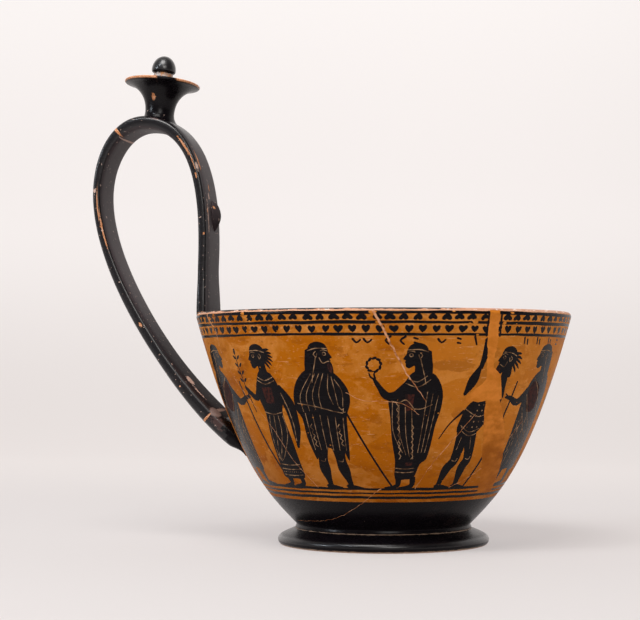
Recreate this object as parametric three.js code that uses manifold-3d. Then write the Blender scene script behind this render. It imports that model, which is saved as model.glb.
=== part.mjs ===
// Kyathos: a deep cup for dipping wine, thrown in fired clay on a low ring foot. One tall strap
// handle leaves the lower wall, loops high above the rim and comes down on the lip. It carries
// a pointed boss over the bowl and a trumpet-shaped finial with a button on top of its arch.
// All of it was luted together and fired as one piece, so it is one solid.
// Millimetres, +Z up. The origin is on the bowl's axis, level with what the foot stands on,
// and the handle rises on the -X side.

import * as THREE from 'three';
import { mergeVertices } from 'three/addons/utils/BufferGeometryUtils.js';
import Module from 'manifold-3d';

// Bowl: the outer wall is one curve from the collar above the foot to the widest ring at the lip.
const rimRadius = 93.1;
const rimHeight = 114.5;
const lipHeight = 2.5;
const wallThickness = 4.6;
const floorHeight = 12.4;
const bowlBaseRadius = 43.2;
const wallCurveShares = [[0.277, 0.142], [0.581, 0.269]];

// Foot: a ring with a sloping top and a rounded edge, hollow underneath.
const footHeight = 10.2;
const footRadius = 52.4;
const footEdgeHeight = 2.8;
const footShoulderInset = 2.7;
const footShoulderHeight = 5.4;
const footTopHeight = 8.9;
const restingRadius = 50.5;
const restingWidth = 7.4;
const hollowHeight = 5.8;
const hollowSlope = 3.2;

// Handle: its centre line, told by how far it stands out from the rim and up from the lip.
const loopReach = 53.9;
const loopWidestRise = 61.2;
const archReach = 29.3;
const archRise = 98;
const innerStrandSetback = 2.6;
const innerStrandRise = 22.5;
const rimRootSetback = 2.8;
const rimRootDepth = 9;
const lowerRootHeight = 52;
const lowerRootProud = 1.7;
const lowerRootAngle = THREE.MathUtils.degToRad(37.4);
const lowerRootTail = 8.5;

// Strap section along the way from the lower root, over the arch, to the rim.
const lowerRootThickness = 9.6;
const lowerStrandThickness = 6.9;
const widestBendThickness = 5.3;
const archThickness = 7.3;
const innerStrandThickness = 5.9;
const rimRootThickness = 6.8;
const buriedThickness = 1.5;
const lowerRootWidth = 30;
const narrowWidth = 23;
const widestBendWidth = 23.5;
const archWidth = 25;
const innerStrandWidth = 27;
const rimRootWidth = 30.5;

// Boss: a pointed leaf of clay on the side of the inner strand that faces the bowl.
const bossLength = 18;
const bossWidth = 9.6;
const bossProud = 3.8;
const bossTopAboveInnerStrand = 35.9;

// Finial: a trumpet with a thin edge and an acorn button, leaning a little on the arch.
const finialShiftToBowl = 7.2;
const discAboveArch = 21.1;
const discRadius = 19.4;
const discThickness = 1.2;
const stemRadius = 7.45;
const stemDepth = 13.3;
const stemFootRadius = 12.2;
const stemFootDepth = 28.5;
const finialLeanToBowl = THREE.MathUtils.degToRad(4.3);
const finialLeanBack = THREE.MathUtils.degToRad(4);
const buttonRadius = 6.2;
const buttonHeight = 14.2;
const buttonCollarRadius = 4.9;
const buttonCollarHeight = 5.9;

// How finely round things are cut into facets.
const bowlSides = 64;
const finialSides = 26;
const strapStations = 44;
const strapSides = 14;

const blackGlossClay = new THREE.MeshStandardMaterial({
  name: 'black gloss over orange clay', color: 0x1a1517, roughness: 0.35, metalness: 0,
});

const wasm = await Module();
wasm.setup();

// Turns a closed three.js geometry into a solid for joining and cutting.
function solidOf(geometry) {
  geometry.deleteAttribute('normal');
  geometry.deleteAttribute('uv');
  const merged = mergeVertices(geometry, 1e-4);
  return new wasm.Manifold(new wasm.Mesh({
    numProp: 3,
    vertProperties: new Float32Array(merged.attributes.position.array),
    triVerts: new Uint32Array(merged.index.array),
  }));
}

// Spins a profile of (radius, height) points, given from the bottom up, about the Z axis.
function spun(profile, sides) {
  const points = profile.map(([radius, height]) => new THREE.Vector2(radius, height));
  return new THREE.LatheGeometry(points, sides).rotateX(Math.PI / 2);
}

// Points on a quarter of an ellipse, without its first point, from start to end. The corner
// is where the two tangents meet.
function roundedCorner(start, corner, end, count) {
  const curve = new THREE.QuadraticBezierCurve(
    new THREE.Vector2(...start), new THREE.Vector2(...corner), new THREE.Vector2(...end));
  return curve.getPoints(count).slice(1).map((point) => [point.x, point.y]);
}

// The outer wall as a curve of (radius, height).
const wallSpread = rimRadius - bowlBaseRadius;
const wallRise = rimHeight - lipHeight - footHeight;
const wallPoint = ([out, up]) => new THREE.Vector2(
  bowlBaseRadius + out * wallSpread, footHeight + up * wallRise);
const outerWall = new THREE.CubicBezierCurve(
  wallPoint([0, 0]), wallPoint(wallCurveShares[0]), wallPoint(wallCurveShares[1]), wallPoint([1, 1]));

// A point of the inner wall: the outer one moved in by the wall's thickness.
function innerWallPoint(share) {
  const point = outerWall.getPoint(share);
  const tangent = outerWall.getTangent(share);
  return [point.x - tangent.y * wallThickness, point.y + tangent.x * wallThickness];
}

// The outer wall's radius at a height, found by halving the curve's range.
function wallRadiusAt(height) {
  let low = 0;
  let high = 1;
  while (high - low > 1e-6) {
    const middle = (low + high) / 2;
    if (outerWall.getPoint(middle).y < height) {
      low = middle;
    } else {
      high = middle;
    }
  }
  return outerWall.getPoint(low).x;
}

// The inside of the bowl from the axis out to the lip, as (radius, height) points.
const floorJoin = 0.3;
function cavityProfile() {
  const join = innerWallPoint(floorJoin);
  const joinTangent = outerWall.getTangent(floorJoin);
  const floorReach = (join[1] - floorHeight) / joinTangent.y * joinTangent.x;
  const floorCurve = roundedCorner(
    [bowlBaseRadius * 0.35, floorHeight], [join[0] - floorReach, floorHeight], join, 7);
  const wallSteps = 9;
  const wallPoints = [];
  for (let step = 1; step <= wallSteps; step += 1) {
    wallPoints.push(innerWallPoint(floorJoin + (1 - floorJoin) * step / wallSteps));
  }
  return [[0, floorHeight], [bowlBaseRadius * 0.35, floorHeight], ...floorCurve, ...wallPoints];
}

// Foot, outer wall, rounded lip, inner wall and floor as one closed profile.
function bowlSolid() {
  const hollowRadius = restingRadius - restingWidth;
  const shoulder = [footRadius - footShoulderInset, footShoulderHeight];
  const edge = [footRadius, footEdgeHeight];
  const foot = [
    [0, hollowHeight],
    [hollowRadius - hollowSlope, hollowHeight],
    [hollowRadius, 0],
    [restingRadius, 0],
    ...roundedCorner([restingRadius, 0], [footRadius, 0], edge, 3),
    ...roundedCorner(edge, [footRadius, footShoulderHeight - 1], shoulder, 3),
    [bowlBaseRadius + 0.6, footTopHeight],
    [bowlBaseRadius, footTopHeight + 0.4],
  ];
  const outside = outerWall.getPoints(13).map((point) => [point.x, point.y]);
  const inside = cavityProfile();
  const innerRim = inside[inside.length - 1];
  const lipMiddle = [(rimRadius + innerRim[0]) / 2, rimHeight];
  const lip = [
    ...roundedCorner([rimRadius, rimHeight - lipHeight], [rimRadius - 0.3, rimHeight], lipMiddle, 3),
    ...roundedCorner(lipMiddle, [innerRim[0], rimHeight], innerRim, 3),
  ];
  const profile = [...foot, ...outside, ...lip, ...inside.slice(0, -1).reverse()];
  return solidOf(spun(profile, bowlSides));
}

// The space inside the bowl, up to where the lip begins to round over.
function cavitySolid() {
  const inside = cavityProfile();
  const top = inside[inside.length - 1][1];
  return solidOf(spun([...inside, [0, top]], bowlSides));
}

// The handle's centre line in the XZ plane, from inside the lower wall to inside the rim.
function strapCentreLine() {
  const at = (radius, height) => new THREE.Vector3(-radius, 0, height);
  const rootRadius = wallRadiusAt(lowerRootHeight) + lowerRootProud;
  const root = at(rootRadius, lowerRootHeight);
  const rootWay = at(Math.cos(lowerRootAngle), Math.sin(lowerRootAngle));
  const widest = at(rimRadius + loopReach, rimHeight + loopWidestRise);
  const arch = at(rimRadius + archReach, rimHeight + archRise);
  const inner = at(rimRadius - innerStrandSetback, rimHeight + innerStrandRise);
  const rimRoot = at(rimRadius - rimRootSetback, rimHeight - rimRootDepth);
  const lowerPull = root.distanceTo(widest) * 0.28;
  const upRun = archRise - loopWidestRise;
  const tailHeight = lowerRootHeight - lowerRootTail;
  const tail = at(wallRadiusAt(tailHeight) - buriedThickness, tailHeight);
  const bend = root.clone().addScaledVector(rootWay, -lowerRootTail * 0.55);
  const line = new THREE.CurvePath();
  line.add(new THREE.QuadraticBezierCurve3(tail, bend, root));
  line.add(new THREE.CubicBezierCurve3(
    root, root.clone().addScaledVector(rootWay, lowerPull),
    widest.clone().add(at(0, -lowerPull)), widest));
  line.add(new THREE.CubicBezierCurve3(
    widest, widest.clone().add(at(0, upRun * 0.54)),
    arch.clone().add(at((loopReach - archReach) * 0.584, 0)), arch));
  const innerRun = archRise - innerStrandRise;
  line.add(new THREE.CubicBezierCurve3(
    arch, arch.clone().add(at(-(archReach + innerStrandSetback) * 1.18, 0)),
    inner.clone().add(at(0, innerRun * 0.13)), inner));
  const rimRun = innerStrandRise + rimRootDepth;
  line.add(new THREE.CubicBezierCurve3(
    inner, inner.clone().add(at(0, -rimRun / 3)),
    rimRoot.clone().add(at(0, rimRun / 3)), rimRoot));
  return line;
}

// A smooth value between neighbouring [place, value] stations.
function between(stations, place) {
  let index = 0;
  while (index < stations.length - 2 && place > stations[index + 1][0]) {
    index += 1;
  }
  const [[from, first], [to, second]] = stations.slice(index, index + 2);
  return first + (second - first) * THREE.MathUtils.smoothstep(place, from, to);
}

// One section of a strap: an oval with flattened faces, as [across, outward] points.
function ovalSection(width, thickness, sides) {
  const flattened = (value, power) => Math.sign(value) * Math.abs(value) ** power;
  const section = [];
  for (let side = 0; side < sides; side += 1) {
    const turn = (side + 0.5) / sides * 2 * Math.PI;
    section.push([
      flattened(Math.cos(turn), 0.45) * width / 2,
      flattened(Math.sin(turn), 0.55) * thickness / 2,
    ]);
  }
  return section;
}

// Skins rings of points that all have the same count, and closes both ends with a fan.
function skinned(rings) {
  const sides = rings[0].length;
  const positions = rings.flat().flatMap((point) => point.toArray());
  const faces = [];
  for (let ring = 0; ring < rings.length - 1; ring += 1) {
    for (let side = 0; side < sides; side += 1) {
      const next = (side + 1) % sides;
      const [a, b] = [ring * sides + side, ring * sides + next];
      faces.push(a, b, b + sides, a, b + sides, a + sides);
    }
  }
  const last = (rings.length - 1) * sides;
  for (let side = 1; side < sides - 1; side += 1) {
    faces.push(0, side + 1, side);
    faces.push(last, last + side, last + side + 1);
  }
  const geometry = new THREE.BufferGeometry();
  geometry.setAttribute('position', new THREE.Float32BufferAttribute(positions, 3));
  geometry.setIndex(faces);
  return geometry;
}

// The direction square to the strap's faces, pointing out of the loop, at a share of its length.
function outwardAt(line, share) {
  const tangent = line.getTangentAt(share);
  return new THREE.Vector3(-tangent.z, 0, tangent.x);
}

function strapSolid(line) {
  const length = line.getLength();
  const runs = line.getCurveLengths();
  const shareAt = (joint) => runs[joint] / length;
  const widths = [
    [shareAt(0), lowerRootWidth],
    [(shareAt(0) + shareAt(1)) * 0.55, narrowWidth],
    [shareAt(1), widestBendWidth],
    [shareAt(2), archWidth],
    [(shareAt(2) + shareAt(3)) / 2, innerStrandWidth],
    [shareAt(3), innerStrandWidth],
    [1 - rimRootDepth / length, rimRootWidth],
  ];
  const thicknesses = [
    [0, buriedThickness],
    [shareAt(0), lowerRootThickness],
    [(shareAt(0) + shareAt(1)) * 0.45, lowerStrandThickness],
    [shareAt(1), widestBendThickness],
    [shareAt(2), archThickness],
    [(shareAt(2) + shareAt(3)) / 2, innerStrandThickness],
    [shareAt(3), innerStrandThickness],
    [1 - rimRootDepth / length, rimRootThickness],
    [1, buriedThickness],
  ];
  const rings = [];
  for (let station = 0; station <= strapStations; station += 1) {
    const share = station / strapStations;
    const centre = line.getPointAt(share);
    const outward = outwardAt(line, share);
    const section = ovalSection(between(widths, share), between(thicknesses, share), strapSides);
    rings.push(section.map(([across, out]) => centre.clone()
      .add(new THREE.Vector3(0, across, 0)).addScaledVector(outward, out)));
  }
  return solidOf(skinned(rings));
}

// Everything inside the loop, up to the strap's centre line, as one slab across the handle.
function insideOfLoop(line) {
  const outline = line.getSpacedPoints(60).map((point) => new THREE.Vector2(point.x, point.z));
  const slabWidth = 4 * discRadius;
  const slab = new THREE.ExtrudeGeometry(new THREE.Shape(outline), {
    depth: slabWidth, bevelEnabled: false,
  });
  return solidOf(slab.translate(0, 0, -slabWidth / 2).rotateX(Math.PI / 2));
}

// The boss is widest a third of the way down and runs out to a point below.
function bossSolid(line) {
  const topHeight = rimHeight + innerStrandRise + bossTopAboveInnerStrand;
  const steps = 9;
  const rings = [];
  for (let step = 0; step <= steps; step += 1) {
    const down = step / steps;
    const swell = Math.sin(Math.PI * (0.08 + 0.88 * down ** 0.7));
    const height = topHeight - bossLength * down;
    const share = shareAtHeight(line, height);
    const centre = line.getPointAt(share);
    const outward = outwardAt(line, share);
    const reach = innerStrandThickness / 2 + bossProud * swell;
    const ring = [];
    for (let side = 0; side <= 10; side += 1) {
      const turn = side / 10 * Math.PI;
      ring.push(centre.clone()
        .add(new THREE.Vector3(0, Math.cos(turn) * bossWidth / 2 * swell, 0))
        .addScaledVector(outward, reach * Math.sin(turn)));
    }
    rings.push(ring);
  }
  return solidOf(skinned(rings));
}

// Where the inner strand, which falls towards the rim, passes a height.
function shareAtHeight(line, height) {
  let low = line.getCurveLengths()[2] / line.getLength();
  let high = 1;
  while (high - low > 1e-6) {
    const middle = (low + high) / 2;
    if (line.getPointAt(middle).z > height) {
      low = middle;
    } else {
      high = middle;
    }
  }
  return low;
}

// Trumpet and button, with the disc's plane at height zero before it is set on the arch.
function finialSolid() {
  const trumpet = new THREE.CubicBezierCurve(
    new THREE.Vector2(stemRadius, -stemDepth),
    new THREE.Vector2(stemRadius, -stemDepth * 0.5),
    new THREE.Vector2(discRadius * 0.6, -stemDepth * 0.2),
    new THREE.Vector2(discRadius - 0.4, -discThickness));
  const stemFoot = roundedCorner(
    [stemFootRadius, -stemFootDepth], [stemRadius, -(stemDepth + stemFootDepth) / 2],
    [stemRadius, -stemDepth], 6);
  const domeRise = buttonHeight - buttonCollarHeight;
  const button = [];
  for (let step = 0; step < 6; step += 1) {
    const turn = step / 6 * Math.PI / 2;
    button.push([buttonRadius * Math.cos(turn), buttonCollarHeight + domeRise * Math.sin(turn)]);
  }
  const profile = [
    [0, -stemFootDepth], [stemFootRadius, -stemFootDepth],
    ...stemFoot,
    ...trumpet.getPoints(8).slice(1).map((point) => [point.x, point.y]),
    [discRadius, -discThickness / 2], [discRadius - 0.4, 0],
    [buttonCollarRadius, 0], [buttonCollarRadius, buttonCollarHeight - (buttonRadius - buttonCollarRadius)],
    ...button, [0, buttonHeight],
  ];
  const geometry = spun(profile, finialSides);
  geometry.rotateX(-finialLeanBack).rotateY(finialLeanToBowl);
  const finialReach = archReach - finialShiftToBowl;
  geometry.translate(-(rimRadius + finialReach), 0, rimHeight + archRise + discAboveArch);
  return solidOf(geometry);
}

function kyathosGeometry() {
  const line = strapCentreLine();
  const inLoop = insideOfLoop(line);
  const strap = strapSolid(line).subtract(cavitySolid());
  const fittings = finialSolid().subtract(inLoop).add(bossSolid(line));
  const whole = bowlSolid().add(strap).add(fittings);
  const mesh = whole.getMesh();
  const geometry = new THREE.BufferGeometry();
  geometry.setAttribute('position', new THREE.BufferAttribute(mesh.vertProperties, 3));
  geometry.setIndex(new THREE.BufferAttribute(mesh.triVerts, 1));
  geometry.computeVertexNormals();
  return geometry;
}

const kyathos = new THREE.Mesh(kyathosGeometry(), blackGlossClay);
kyathos.name = 'kyathos';

const part = new THREE.Group();
part.add(kyathos);

export default part;
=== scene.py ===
import bisect
import math
import random

import bmesh
import bpy
import numpy
from mathutils import Matrix, Vector, geometry, kdtree, noise


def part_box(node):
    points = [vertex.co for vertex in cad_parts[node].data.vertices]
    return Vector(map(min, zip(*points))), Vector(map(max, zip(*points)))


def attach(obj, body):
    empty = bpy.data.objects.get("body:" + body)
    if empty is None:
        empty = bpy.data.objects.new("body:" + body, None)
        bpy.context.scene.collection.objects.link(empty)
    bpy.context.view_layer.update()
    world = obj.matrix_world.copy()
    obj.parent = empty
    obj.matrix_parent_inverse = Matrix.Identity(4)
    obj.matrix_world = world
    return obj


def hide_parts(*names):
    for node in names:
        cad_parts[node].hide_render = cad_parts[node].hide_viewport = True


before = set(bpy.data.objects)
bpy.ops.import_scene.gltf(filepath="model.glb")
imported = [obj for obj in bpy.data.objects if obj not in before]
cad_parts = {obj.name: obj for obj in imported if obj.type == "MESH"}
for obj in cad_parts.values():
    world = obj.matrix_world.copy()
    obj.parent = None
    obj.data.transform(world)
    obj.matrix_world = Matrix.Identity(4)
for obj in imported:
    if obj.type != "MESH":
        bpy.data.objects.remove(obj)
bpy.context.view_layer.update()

# The floor, the light and the camera. The cup stands on a plain pale floor under soft studio
# light, and the camera is a little lower than the rim, ten degrees round from square on.
mm = 0.001
view_turn = math.radians(10)
camera_distance = 0.890
camera_height = 0.0886
aim_left = math.radians(2.03)
aim_up = math.radians(1.77)
focal_share = 1780 / 640

camera_data = bpy.data.cameras.new("camera")
camera_data.sensor_width = 36
camera_data.lens = 36 * focal_share
camera_data.clip_start = 0.01
camera = bpy.data.objects.new("camera", camera_data)
camera.location = (camera_distance * math.sin(view_turn), -camera_distance * math.cos(view_turn),
                   camera_height)
camera.rotation_euler = (math.pi / 2 + aim_up, 0, view_turn + aim_left)
bpy.context.collection.objects.link(camera)
bpy.context.scene.camera = camera
bpy.context.scene.view_settings.view_transform = "Standard"


class Value:
    """A number carried by a socket, so that a mask can be written as plain arithmetic."""

    def __init__(self, finish, socket):
        self.finish = finish
        self.socket = socket

    def combine(self, operation, first, second):
        return self.finish.node("ShaderNodeMath", {"operation": operation}, {0: first, 1: second})

    def __add__(self, other):
        return self.combine("ADD", self, other)

    def __sub__(self, other):
        return self.combine("SUBTRACT", self, other)

    def __rsub__(self, other):
        return self.combine("SUBTRACT", other, self)

    def __mul__(self, other):
        return self.combine("MULTIPLY", self, other)

    def __pow__(self, other):
        return self.combine("POWER", self, other)

    def __abs__(self):
        return self.combine("ABSOLUTE", self, 0)

    def __neg__(self):
        return self * -1

    def larger(self, other):
        return self.combine("MAXIMUM", self, other)

    __radd__ = __add__
    __rmul__ = __mul__


class Finish:
    """One material: its nodes, and what feeds its shader."""

    def __init__(self, name, **constants):
        self.material = bpy.data.materials.new(name)
        self.material.use_nodes = True
        self.tree = self.material.node_tree
        self.shader = self.tree.nodes["Principled BSDF"]
        for socket, value in constants.items():
            self.shader.inputs[socket.replace("_", " ").title().replace("Ior", "IOR")].default_value = value

    def node(self, kind, settings, inputs, output=0):
        """Adds a node: its settings first, then a value or a link for each socket named."""
        made = self.tree.nodes.new(kind)
        for setting, value in settings.items():
            setattr(made, setting, value)
        for socket, value in inputs.items():
            if isinstance(value, Value):
                self.tree.links.new(value.socket, made.inputs[socket])
            else:
                made.inputs[socket].default_value = value
        return Value(self, made.outputs[output])

    def coordinates(self, stretch=(1, 1, 1)):
        """Object coordinates in millimetres, stretched along each axis."""
        place = self.node("ShaderNodeTexCoord", {}, {}, output="Object")
        return self.node("ShaderNodeMapping", {}, {"Vector": place, "Scale": [s / mm for s in stretch]})

    def noise(self, size, detail=3, roughness=0.55, stretch=(1, 1, 1), distortion=0):
        """Smooth noise from 0 to 1 whose blotches are about so many millimetres across."""
        return self.node("ShaderNodeTexNoise", {}, {
            "Vector": self.coordinates(stretch), "Scale": 1 / size, "Detail": detail,
            "Roughness": roughness, "Distortion": distortion})

    def step(self, value, low, high):
        """0 below low, 1 above high, and smooth between them."""
        return self.node("ShaderNodeMapRange", {"interpolation_type": "SMOOTHSTEP"}, {
            "Value": value, "From Min": low, "From Max": high})

    def place(self, axis, coordinates=None):
        """How far a point lies along one axis, in millimetres."""
        return self.node("ShaderNodeSeparateXYZ", {}, {0: coordinates or self.coordinates()}, output=axis)

    def height(self):
        return self.place(2)

    def attribute(self, name, output="Fac"):
        return self.node("ShaderNodeAttribute", {"attribute_name": name}, {}, output)

    def mix(self, factor, first, second):
        """Blends two colours, each a Value or a plain (r, g, b)."""
        colours = {6: first, 7: second}
        whole = {key: c if isinstance(c, Value) else (*c, 1) for key, c in colours.items()}
        return self.node("ShaderNodeMix", {"data_type": "RGBA"}, {0: factor, **whole}, output=2)

    def feed(self, socket, value):
        self.tree.links.new(value.socket, self.shader.inputs[socket])

    def bump(self, value, depth):
        """Raises the surface where value is high, by depth millimetres."""
        raised = self.node("ShaderNodeBump", {}, {"Height": value, "Distance": depth * mm, "Strength": 1})
        self.feed("Normal", raised)


def linked(name, data):
    made = bpy.data.objects.new(name, data)
    bpy.context.collection.objects.link(made)
    return made


floor_form = bmesh.new()
floor_front = -9.0
sweep_start = 0.7
sweep_radius = 1.2
sweep_width = 14
sweep_height = 3.2
sweep_bends = 24
sweep = [(floor_front, 0.0)]
for i in range(sweep_bends + 1):
    turn = i / sweep_bends * math.pi / 2
    sweep.append((sweep_start + sweep_radius * math.sin(turn), sweep_radius * (1 - math.cos(turn))))
sweep.append((sweep_start + sweep_radius, sweep_height))
verts = [floor_form.verts.new((-sweep_width / 2, y, z)) for y, z in sweep]
edges = [floor_form.edges.new(pair) for pair in zip(verts, verts[1:])]
extruded = bmesh.ops.extrude_edge_only(floor_form, edges=edges)["geom"]
bmesh.ops.translate(floor_form, vec=(sweep_width, 0, 0),
                    verts=[item for item in extruded if isinstance(item, bmesh.types.BMVert)])
bmesh.ops.recalc_face_normals(floor_form, faces=floor_form.faces)
floor_mesh = bpy.data.meshes.new("floor")
floor_form.to_mesh(floor_mesh)
floor_form.free()
for polygon in floor_mesh.polygons:
    polygon.use_smooth = True
floor = linked("floor", floor_mesh)
floor_paint = Finish("pale floor", roughness=0.8, specular_ior_level=0.05, emission_strength=1)
floor_paint.feed("Base Color", floor_paint.mix(
    floor_paint.noise(400), (0.235, 0.225, 0.22), (0.245, 0.235, 0.23)))
# The floor's glow is painted light: its emission grows brighter further back and up the sweep, and a little
# darker to the right.
away = floor_paint.step(floor_paint.place(1), 50, 700)
low_wall = floor_paint.step(floor_paint.place(2), 0, 300)
high_wall = floor_paint.step(floor_paint.place(2), 300, 800)
glow = floor_paint.mix(away, (0.47, 0.435, 0.43), (0.60, 0.555, 0.54))
glow = floor_paint.mix(high_wall, floor_paint.mix(low_wall, glow, (0.76, 0.715, 0.70)), (0.84, 0.80, 0.785))
painted_shade_to_right = floor_paint.step(floor_paint.place(0), -250, 500)
floor_paint.feed("Emission Color", floor_paint.mix(painted_shade_to_right * 0.07, glow, (0, 0, 0)))
floor_mesh.materials.append(floor_paint.material)

# What the camera sees behind the cup is an even pale wall, and what lights the cup is dimmer
# in front than above and behind, as in a room.
world = bpy.data.worlds.new("room")
bpy.context.scene.world = world
world.use_nodes = True
sky = world.node_tree
direction = sky.nodes.new("ShaderNodeTexCoord")
parts_of_direction = sky.nodes.new("ShaderNodeSeparateXYZ")
sky.links.new(direction.outputs["Generated"], parts_of_direction.inputs[0])


def sky_ramp(axis, start, end, at_start, at_end):
    """A strength that changes evenly along one axis of the direction, between two places on it."""
    ramp = sky.nodes.new("ShaderNodeMapRange")
    for socket, value in (("From Min", start), ("From Max", end), ("To Min", at_start), ("To Max", at_end)):
        ramp.inputs[socket].default_value = value
    sky.links.new(parts_of_direction.outputs[axis], ramp.inputs["Value"])
    return ramp.outputs[0]


dimmed = sky.nodes.new("ShaderNodeMath")
dimmed.operation = "MULTIPLY"
sky.links.new(sky_ramp("Y", -0.5, 0.8, 0.10, 0.85), dimmed.inputs[0])
sky.links.new(sky_ramp("X", -0.2, 0.9, 1.0, 0.40), dimmed.inputs[1])
room_light = sky.nodes["Background"]
room_light.inputs["Color"].default_value = (1.0, 0.975, 0.95, 1)
sky.links.new(dimmed.outputs[0], room_light.inputs["Strength"])
pale_wall = sky.nodes.new("ShaderNodeBackground")
pale_wall.inputs["Color"].default_value = (0.90, 0.872, 0.855, 1)
pale_wall.inputs["Strength"].default_value = 1.0
seen = sky.nodes.new("ShaderNodeLightPath")
choice = sky.nodes.new("ShaderNodeMixShader")
sky.links.new(seen.outputs["Is Camera Ray"], choice.inputs[0])
sky.links.new(room_light.outputs[0], choice.inputs[1])
sky.links.new(pale_wall.outputs[0], choice.inputs[2])
sky.links.new(choice.outputs[0], sky.nodes["World Output"].inputs["Surface"])


def soft_light(name, place, size, watts, colour=(1, 0.97, 0.93)):
    """A square lamp that faces the middle of the cup."""
    lamp = bpy.data.lights.new(name, "AREA")
    lamp.size = size
    lamp.energy = watts
    lamp.color = colour
    made = linked(name, lamp)
    made.location = place
    made.rotation_euler = (Vector((0, 0, 0.1)) - Vector(place)).to_track_quat("-Z", "Y").to_euler()


soft_light("overhead light", (-0.1, -0.7, 1.45), 0.7, 20, (1, 0.98, 0.96))
soft_light("front light", (0.5, -1.55, 0.85), 0.6, 10)
soft_light("left window", (-1.3, -0.75, 0.55), 0.16, 5.0, (0.82, 0.9, 1))
soft_light("high window", (-0.7, -1.0, 1.2), 0.14, 4.0, (0.85, 0.92, 1))

# The bowl and its foot. They were thrown on the wheel from fine orange clay as one wall that
# opens in one sweep from a narrow collar to the lip, and the ring foot was turned when the
# clay was leather hard. Lengths here are millimetres, and the handle is on the -X side.
rim_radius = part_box("kyathos")[1].y / mm
rim_height = 114.5
lip_height = 2.5
wall_thickness = 4.6
floor_height = 12.4
collar_radius = 43.2
collar_height = 10.2
foot_radius = 52.4
resting_radius = 50.5
hollow_radius = 43.1
hollow_height = 5.8
around = 288


def bezier(a, b, c, d, count):
    """Points on a cubic curve, with both ends."""
    points = geometry.interpolate_bezier(*(Vector(p) for p in (a, b, c, d)), count)
    return [(p.x, p.y) for p in points]


class Meridian:
    """The outline of a turned wall, measured by the length along it."""

    def __init__(self, points):
        self.points = points
        self.lengths = [0.0]
        for (r0, z0), (r1, z1) in zip(points, points[1:]):
            self.lengths.append(self.lengths[-1] + math.hypot(r1 - r0, z1 - z0))

    def at(self, length):
        """Radius, height and the outward normal's two parts."""
        index = min(max(bisect.bisect(self.lengths, length) - 1, 0), len(self.points) - 2)
        span = self.lengths[index + 1] - self.lengths[index]
        share = (length - self.lengths[index]) / span
        (r0, z0), (r1, z1) = self.points[index:index + 2]
        return r0 + (r1 - r0) * share, z0 + (z1 - z0) * share, (z1 - z0) / span, (r0 - r1) / span

    def length_at(self, height):
        heights = [z for r, z in self.points]
        index = min(max(bisect.bisect(heights, height) - 1, 0), len(self.points) - 2)
        z0, z1 = heights[index:index + 2]
        share = (height - z0) / (z1 - z0)
        return self.lengths[index] + (self.lengths[index + 1] - self.lengths[index]) * share


wall_spread = rim_radius - collar_radius
wall_rise = rim_height - lip_height - collar_height
wall_curve = [
    (collar_radius + out * wall_spread, collar_height + up * wall_rise)
    for out, up in ((0, 0), (0.277, 0.142), (0.581, 0.269), (1, 1))]
lip_outer = (rim_radius, rim_height - lip_height)
end_way = Vector(wall_curve[3]) - Vector(wall_curve[2])
end_way.normalize()
lip_inner = (lip_outer[0] - end_way.y * wall_thickness, lip_outer[1] + end_way.x * wall_thickness)
lip_middle = ((lip_outer[0] + lip_inner[0]) / 2, rim_height)
lip_rounding = 0.9
outer_lip = bezier(lip_outer, (lip_outer[0] + 0.1, rim_height - lip_rounding),
                   (lip_middle[0] + 1.4, rim_height), lip_middle, 13)
wall_points = 200
wall = Meridian(bezier(*wall_curve, wall_points) + outer_lip[1:])
painted_top = wall.length_at(rim_height - lip_rounding)


def turned(form, profile):
    """Spins a profile of (radius, height) points about the axis, from the handle's side."""
    verts = [form.verts.new((-radius, 0, height)) for radius, height in profile]
    edges = [form.edges.new(pair) for pair in zip(verts, verts[1:])]
    bmesh.ops.spin(form, geom=verts + edges, cent=(0, 0, 0), axis=(0, 0, 1), angle=2 * math.pi,
                   steps=around, use_merge=True)


foot_profile = [
    (collar_radius, collar_height), (collar_radius, 9.7), (collar_radius + 0.45, 9.0),
    (collar_radius + 0.45, 8.5), (collar_radius + 0.1, 8.2), (collar_radius + 0.9, 7.9)]
foot_profile += bezier((45.2, 7.5), (49.0, 5.8), (52.1, 5.0), (foot_radius, 2.8), 9)
foot_profile += bezier((foot_radius, 2.8), (foot_radius + 0.1, 1.4), (51.6, 0.1), (resting_radius, 0), 7)[1:]
foot_profile += [(47, 0), (hollow_radius, 0)]
foot_profile += bezier((hollow_radius, 0), (42.4, 3.2), (41.2, hollow_height), (37.5, hollow_height), 7)[1:]
foot_profile += [(radius, hollow_height) for radius in (30, 20, 10, 0)]

floor_bend_height = 25
inner_rows = 46
inner_wall = []
for row in range(inner_rows, 0, -1):
    radius, height, out, up = wall.at(wall.lengths[wall_points - 1] * row / inner_rows)
    if height - up * wall_thickness > floor_bend_height:
        inner_wall.append((radius - out * wall_thickness, height - up * wall_thickness))
low_r, low_z = inner_wall[-1]
floor_curve = bezier(inner_wall[-1], (low_r - 12, low_z - 12.4), (24, floor_height), (10, floor_height), 16)
top_radius, top_height = wall.at(painted_top)[:2]
inside_profile = [(top_radius, top_height)]
inside_profile += [point for point in outer_lip if point[0] < top_radius - 0.2]
inside_profile += bezier(lip_middle, (lip_middle[0] - 1.3, rim_height),
                         (lip_inner[0] - 0.1, lip_inner[1] + lip_rounding), lip_inner, 7)[1:]
inside_profile += inner_wall[1:] + floor_curve[1:] + [(0, floor_height)]

bowl_form = bmesh.new()
turned(bowl_form, foot_profile)
turned(bowl_form, inside_profile)
clay_slot, gloss_slot, lip_slot = 0, 1, 6
lip_wear_depth = 1.6
for face in bowl_form.faces:
    middle = face.calc_center_median()
    out = middle.to_2d().length
    bare_below = 1 if out > hollow_radius + 1 else hollow_height + 0.1
    under_foot = out < resting_radius + 0.5 and middle.z < bare_below
    on_lip = middle.z > rim_height - lip_wear_depth
    face.material_index = clay_slot if under_foot else lip_slot if on_lip else gloss_slot

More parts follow.
